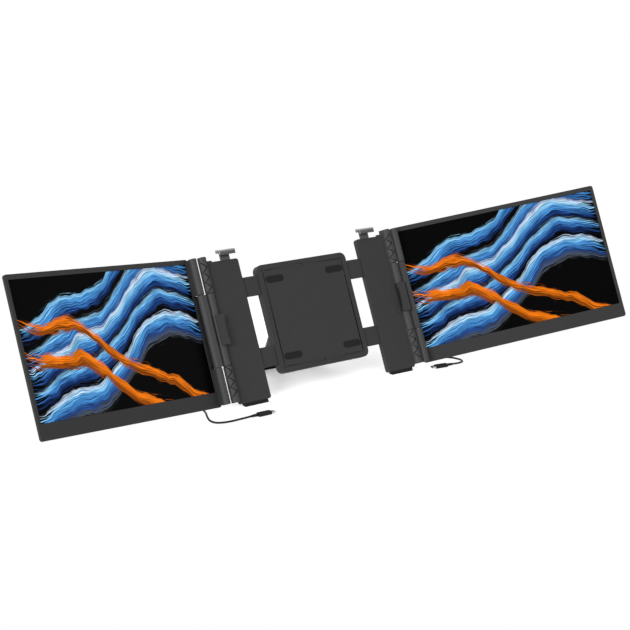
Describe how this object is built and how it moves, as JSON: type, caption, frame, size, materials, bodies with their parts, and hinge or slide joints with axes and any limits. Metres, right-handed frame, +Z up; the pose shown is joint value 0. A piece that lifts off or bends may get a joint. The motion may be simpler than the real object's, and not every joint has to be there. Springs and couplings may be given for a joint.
{
  "type": "laptop screen extender",
  "caption": "Two slim side monitors on double-axis hinge columns, carried by a telescoping back frame with lid clips, top hooks and a kickstand.",
  "frame": {"origin": "on the desk, under the middle of the object's outline in plan, with the leads not counted", "axes": "+X to the user's right along the pair of screens, +Y away from the user, +Z up from the desk"},
  "size_m": [1.0628, 0.2336, 0.2619],
  "materials": {
    "shell": "fine matt texture",
    "bezel": "satin",
    "picture": "lit panel behind anti-glare glass",
    "backlight": "brushed",
    "board": "solder mask",
    "hinge": "satin grey",
    "clip": "satin",
    "stand": "bead-blasted and anodised",
    "steel": "ground",
    "key": "satin",
    "cord": "smooth flexible jacket",
    "rubber": "matt"
  },
  "bodies": {
    "frame": {"back_housing": "shell", "front_cover": "shell", "front_pads": "rubber", "cover_screws": "steel", "travel_stops": "steel", "kick_pin": "steel"},
    "kickstand": {"kickstand": "stand", "kick_foot": "rubber"},
    "arm_left": {"arm_panel_left": "shell", "arm_foot_left": "rubber", "side_clip_left": "clip", "clip_lining_left": "rubber", "inner_knuckles_left": "hinge", "inner_shafts_left": "steel"},
    "hook_left": {"top_hook_left": "clip", "hook_pad_left": "rubber"},
    "link_left": {"link_left": "hinge", "friction_sleeves_left": "steel"},
    "monitor_left": {"outer_shafts_left": "steel", "outer_knuckles_left": "hinge", "front_bezel_left": "bezel", "screen_glass_left": "picture", "backlight_left": "backlight", "rear_cover_left": "shell", "driver_board_left": "board", "charge_sockets_left": "steel", "screen_plug_left": "cord", "lead_left": "cord", "laptop_plug_left": "cord"},
    "power_key_left": {"power_key_left": "key"},
    "menu_key_left": {"menu_key_left": "key"},
    "arm_right": {"arm_panel_right": "shell", "arm_foot_right": "rubber", "side_clip_right": "clip", "clip_lining_right": "rubber", "inner_knuckles_right": "hinge", "inner_shafts_right": "steel"},
    "hook_right": {"top_hook_right": "clip", "hook_pad_right": "rubber"},
    "link_right": {"link_right": "hinge", "friction_sleeves_right": "steel"},
    "monitor_right": {"outer_shafts_right": "steel", "outer_knuckles_right": "hinge", "front_bezel_right": "bezel", "screen_glass_right": "picture", "backlight_right": "backlight", "rear_cover_right": "shell", "driver_board_right": "board", "charge_sockets_right": "steel", "screen_plug_right": "cord", "lead_right": "cord", "laptop_plug_right": "cord"},
    "power_key_right": {"power_key_right": "key"},
    "menu_key_right": {"menu_key_right": "key"}
  },
  "joints": [
    {"name": "kickstand_hinge", "type": "hinge", "parent": "frame", "child": "kickstand", "pos_m": [0.00388, 0.06455, 0.12915], "axis": [1, 0, 0], "range_deg": [-48, 12]},
    {"name": "arm_slide_left", "type": "slide", "parent": "frame", "child": "arm_left", "axis": [-1, 0, 0], "range_m": [-0.018, 0.032]},
    {"name": "hook_slide_left", "type": "slide", "parent": "arm_left", "child": "hook_left", "axis": [0, 0.4431, 0.8965], "range_m": [-0.008, 0.03]},
    {"name": "inner_hinge_left", "type": "hinge", "parent": "arm_left", "child": "link_left", "pos_m": [-0.17032, 0.04135, 0.10748], "axis": [0, -0.4431, -0.8965], "range_deg": [-32, 44]},
    {"name": "outer_hinge_left", "type": "hinge", "parent": "link_left", "child": "monitor_left", "pos_m": [-0.18632, 0.04135, 0.10748], "axis": [0, -0.4431, -0.8965], "range_deg": [-54.6, 61.4]},
    {"name": "power_press_left", "type": "slide", "parent": "monitor_left", "child": "power_key_left", "axis": [0.9542, 0.2681, -0.1325], "range_m": [0, 0.0007], "stiffness_N_per_m": 1500, "springref_m": -0.0006},
    {"name": "menu_press_left", "type": "slide", "parent": "monitor_left", "child": "menu_key_left", "axis": [0.9542, 0.2681, -0.1325], "range_m": [0, 0.0007], "stiffness_N_per_m": 1500, "springref_m": -0.0006},
    {"name": "arm_slide_right", "type": "slide", "parent": "frame", "child": "arm_right", "axis": [1, 0, 0], "range_m": [-0.018, 0.032]},
    {"name": "hook_slide_right", "type": "slide", "parent": "arm_right", "child": "hook_right", "axis": [0, 0.4431, 0.8965], "range_m": [-0.008, 0.03]},
    {"name": "inner_hinge_right", "type": "hinge", "parent": "arm_right", "child": "link_right", "pos_m": [0.17808, 0.04135, 0.10748], "axis": [0, 0.4431, 0.8965], "range_deg": [-32, 44]},
    {"name": "outer_hinge_right", "type": "hinge", "parent": "link_right", "child": "monitor_right", "pos_m": [0.19408, 0.04135, 0.10748], "axis": [0, 0.4431, 0.8965], "range_deg": [-50.4, 65.6]},
    {"name": "power_press_right", "type": "slide", "parent": "monitor_right", "child": "power_key_right", "axis": [-0.9298, 0.33, -0.1631], "range_m": [0, 0.0007], "stiffness_N_per_m": 1500, "springref_m": -0.0006},
    {"name": "menu_press_right", "type": "slide", "parent": "monitor_right", "child": "menu_key_right", "axis": [-0.9298, 0.33, -0.1631], "range_m": [0, 0.0007], "stiffness_N_per_m": 1500, "springref_m": -0.0006}
  ]
}
